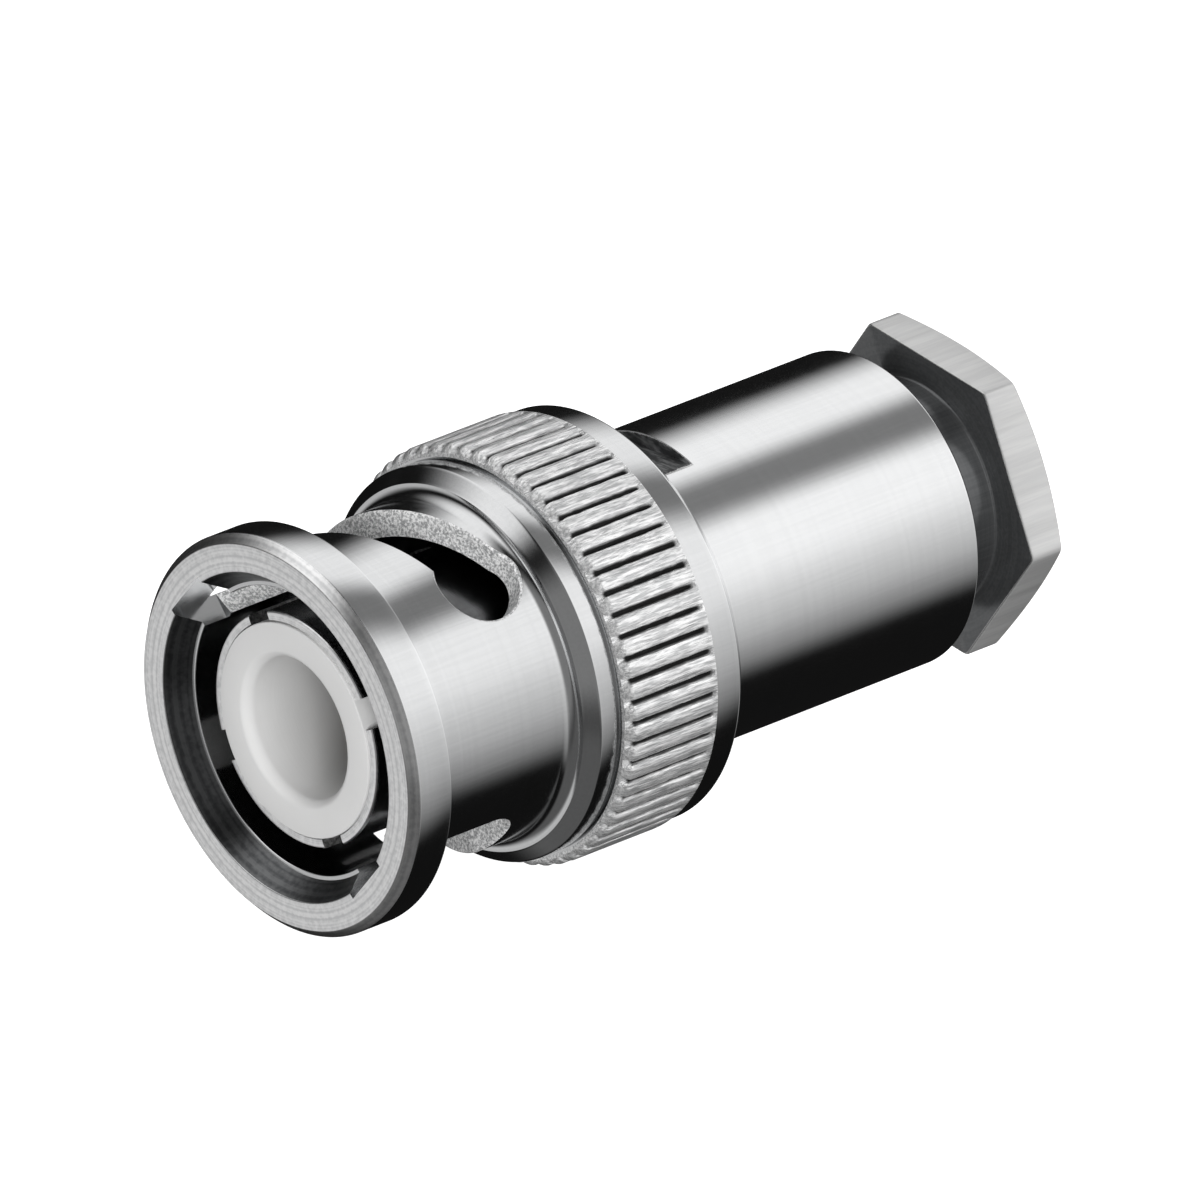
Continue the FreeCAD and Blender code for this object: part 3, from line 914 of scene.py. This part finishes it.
def wave_spring(name, node_name):
    """Spring washer copied from its CAD node, with its doubled points merged."""
    work = bmesh.new()
    work.from_mesh(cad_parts[node_name].data)
    bmesh.ops.remove_doubles(work, verts=work.verts, dist=0.0001 * MM)
    mesh = bpy.data.meshes.new(name)
    work.to_mesh(mesh)
    work.free()
    mesh.materials.append(spring_steel)
    spring = placed(name, mesh)
    dress(spring, "connector_body", "spring_steel", node_name)
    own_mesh(spring)


# Pieces that keep their CAD shape

PLAIN_NODES = {
    "retaining_ring": spring_steel,
    "thrust_washer": nickel,
    "interface_gasket": rubber,
    "rear_insulator": ptfe,
    "center_pin": gold,
    "braid_clamp": nickel,
    "cable_gasket": rubber,
    "slip_washer": nickel,
}


def dress_plain_nodes():
    """Gives each CAD mesh that stays its finish and its smooth shading."""
    for name, material in PLAIN_NODES.items():
        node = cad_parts[name]
        node.data.materials.clear()
        node.data.materials.append(material)
        node.data.polygons.foreach_set("use_smooth", [True] * len(node.data.polygons))
        node.data.set_sharp_from_angle(angle=SHARP_ANGLE)


# Floor, light and camera


def white_floor():
    """Floor that is seen as white and gives the plug no reflection."""
    z = cad_low.z
    corners = [(-1, -1), (1, -1), (1, 1), (-1, 1)]
    points = [(x * FLOOR_HALF, y * FLOOR_HALF, z) for x, y in corners]
    mesh = bpy.data.meshes.new("floor")
    mesh.from_pydata(points, [], [(0, 1, 2, 3)])
    floor = placed("floor", mesh)
    material, tree = new_material("floor")
    surface(tree, (0.8, 0.8, 0.8), 0.0, 0.8, Emission_Color=WHITE, Emission_Strength=0.9)
    mesh.materials.append(material)
    floor.visible_glossy = False
    floor.visible_diffuse = False


def light_bands():
    """World whose light comes from soft boxes, as bands round the plug's axis."""
    world = bpy.data.worlds.new("studio")
    world.use_nodes = True
    bpy.context.scene.world = world
    tree = world.node_tree
    tree.nodes.clear()
    place = tree.nodes.new("ShaderNodeTexCoord")
    split = tree.nodes.new("ShaderNodeSeparateXYZ")
    tree.links.new(place.outputs["Generated"], split.inputs[0])
    x, y, z = split.outputs
    turn = math_node(tree, "MULTIPLY", math_node(tree, "ARCTAN2", z, y), 180 / math.pi)
    # Angles from -90 to 270, so that the seam lies straight down
    turn = math_node(tree, "ADD", turn, 450.0)
    turn = math_node(tree, "MODULO", turn, 360.0)
    turn = math_node(tree, "ADD", turn, -90.0)
    total = AMBIENT
    for strength, lower, upper, fade in BANDS:
        light = smooth_step(tree, turn, *lower)
        light = math_node(tree, "MULTIPLY", light, smooth_step(tree, turn, *upper, 1.0, 0.0))
        if fade[0] < fade[1]:
            reach = smooth_step(tree, x, *fade)
        else:
            reach = smooth_step(tree, x, fade[1], fade[0], 1.0, 0.0)
        light = math_node(tree, "MULTIPLY", light, reach)
        total = math_node(tree, "MULTIPLY_ADD", light, strength, total)
    seen = tree.nodes.new("ShaderNodeLightPath").outputs["Is Camera Ray"]
    total = math_node(tree, "MULTIPLY_ADD", seen, EMPTY_SPACE_WHITE, total)
    background = tree.nodes.new("ShaderNodeBackground")
    output = tree.nodes.new("ShaderNodeOutputWorld")
    tree.links.new(total, background.inputs["Strength"])
    tree.links.new(background.outputs[0], output.inputs["Surface"])


def key_light():
    """Soft lamp in front, which lights the white parts and isn't mirrored in the metal."""
    light = bpy.data.lights.new("key", "AREA")
    light.shape = "DISK"
    light.size = KEY_SIZE
    light.energy = KEY_ENERGY
    key = placed("key", light)
    key.location = KEY_PLACE
    key.rotation_mode = "QUATERNION"
    key.rotation_quaternion = key.location.to_track_quat("Z", "Y")
    key.visible_glossy = False


def camera():
    """Camera at the photograph's viewing angle, aimed so that the plug lies where it does there."""
    data = bpy.data.cameras.new("camera")
    data.sensor_width = SENSOR_MM
    data.lens = SENSOR_MM * CAMERA_DISTANCE_MM / FRAME_WIDTH_MM
    data.clip_start = 0.1
    data.clip_end = 10.0
    eye = placed("camera", data)
    along = VIEW_ALONG.normalized()
    right = (VIEW_RIGHT - along * VIEW_RIGHT.dot(along)).normalized()
    up = right.cross(along)
    aim = (right * AIM_RIGHT_MM + up * AIM_UP_MM) * MM
    eye.rotation_mode = "QUATERNION"
    eye.rotation_quaternion = Matrix((right, up, -along)).transposed().to_quaternion()
    eye.location = aim - along * CAMERA_DISTANCE_MM * MM
    bpy.context.scene.camera = eye


bayonet_coupling()
body_shell()
contact_sleeve()
front_insulator()
clamp_nut()
wave_spring("front_spring", "front_wave_washer")
wave_spring("rear_spring", "rear_wave_washer")
dress_plain_nodes()
white_floor()
light_bands()
key_light()
camera()
bpy.context.scene.view_settings.view_transform = "Standard"
